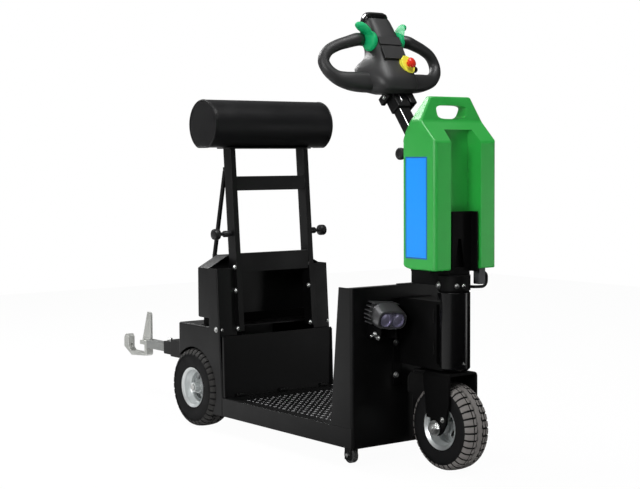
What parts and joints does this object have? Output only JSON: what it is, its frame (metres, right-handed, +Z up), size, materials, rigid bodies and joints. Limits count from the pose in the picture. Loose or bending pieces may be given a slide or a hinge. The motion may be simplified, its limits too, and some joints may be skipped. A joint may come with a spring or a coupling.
{
  "type": "stand-on electric tow tractor",
  "caption": "Three-wheel stand-on electric tug: low floor, lean-back roll, tow hook, and a steered front wheel that turns with its battery and tiller.",
  "frame": {"origin": "on the ground, under the middle of the vehicle's box", "axes": "+X forward, +Y to the driver's left, +Z up"},
  "size_m": [2.055, 0.498, 1.366],
  "materials": {
    "black_steel": "satin powder coat",
    "black_vinyl": "grained vinyl",
    "clear_lens": "clear",
    "zinc": "bright zinc",
    "grey_casting": "painted casting",
    "grey_plastic": "matt",
    "green_plastic": "semi-gloss moulded",
    "black_plastic": "fine texture",
    "grip_rubber": "soft touch",
    "green_lever": "semi-gloss",
    "yellow_plastic": "gloss",
    "red_plastic": "gloss",
    "tyre_rubber": "matt",
    "roller_rubber": "matt"
  },
  "bodies": {
    "chassis": {"floor_pan": "black_steel", "front_panel": "black_steel", "rear_posts": "black_steel", "riser_plate": "black_steel", "rear_box": "black_steel", "rear_housing": "black_steel", "uprights": "black_steel", "cross_members": "black_steel", "roll_plate": "black_steel", "back_roll": "black_vinyl", "back_brace": "black_steel", "plungers": "black_plastic", "transaxle": "grey_casting", "head_tube": "black_steel", "head_bracket": "black_steel", "roller_forks": "black_steel", "headlight": "black_steel", "headlight_lens": "clear_lens", "hitch_beam": "black_steel", "drawbar": "zinc", "tow_hook": "zinc"},
    "steering": {"fork": "black_steel", "front_axle": "zinc", "mudguard": "grey_plastic", "steering_column": "black_steel", "battery_bracket": "black_steel", "battery": "green_plastic", "battery_connector": "grey_plastic", "battery_cable": "black_plastic", "tilt_knob": "black_plastic"},
    "tiller": {"tiller_stem": "black_steel", "tiller_head": "black_plastic", "hand_loop": "grip_rubber", "thumb_levers": "green_lever", "stop_collar": "yellow_plastic", "stop_button": "red_plastic", "key_switch": "black_plastic"},
    "front_wheel": {"front_tyre": "tyre_rubber", "front_rim": "zinc"},
    "right_wheel": {"right_tyre": "tyre_rubber", "right_rim": "zinc", "right_half_shaft": "zinc"},
    "left_wheel": {"left_tyre": "tyre_rubber", "left_rim": "zinc", "left_half_shaft": "zinc"},
    "right_tip_roller": {"right_roller": "roller_rubber"},
    "left_tip_roller": {"left_roller": "roller_rubber"}
  },
  "joints": [
    {"name": "steering_turn", "type": "hinge", "parent": "chassis", "child": "steering", "pos_m": [0.9135, 0, 0.4], "axis": [0, 0, 1], "range_deg": [-70, 70]},
    {"name": "tiller_tilt", "type": "hinge", "parent": "steering", "child": "tiller", "pos_m": [0.7795, 0, 0.931], "axis": [0, 1, 0], "range_deg": [-8, 22]},
    {"name": "front_wheel_spin", "type": "hinge", "parent": "steering", "child": "front_wheel", "pos_m": [0.8975, 0, 0.13], "axis": [0, 1, 0], "continuous": true},
    {"name": "right_wheel_spin", "type": "hinge", "parent": "chassis", "child": "right_wheel", "pos_m": [-0.1525, -0.197, 0.135], "axis": [0, 1, 0], "continuous": true},
    {"name": "left_wheel_spin", "type": "hinge", "parent": "chassis", "child": "left_wheel", "pos_m": [-0.1525, 0.197, 0.135], "axis": [0, 1, 0], "continuous": true},
    {"name": "right_roller_spin", "type": "hinge", "parent": "chassis", "child": "right_tip_roller", "pos_m": [0.6975, -0.214, 0.038], "axis": [0, 1, 0], "continuous": true},
    {"name": "left_roller_spin", "type": "hinge", "parent": "chassis", "child": "left_tip_roller", "pos_m": [0.6975, 0.214, 0.038], "axis": [0, 1, 0], "continuous": true}
  ]
}
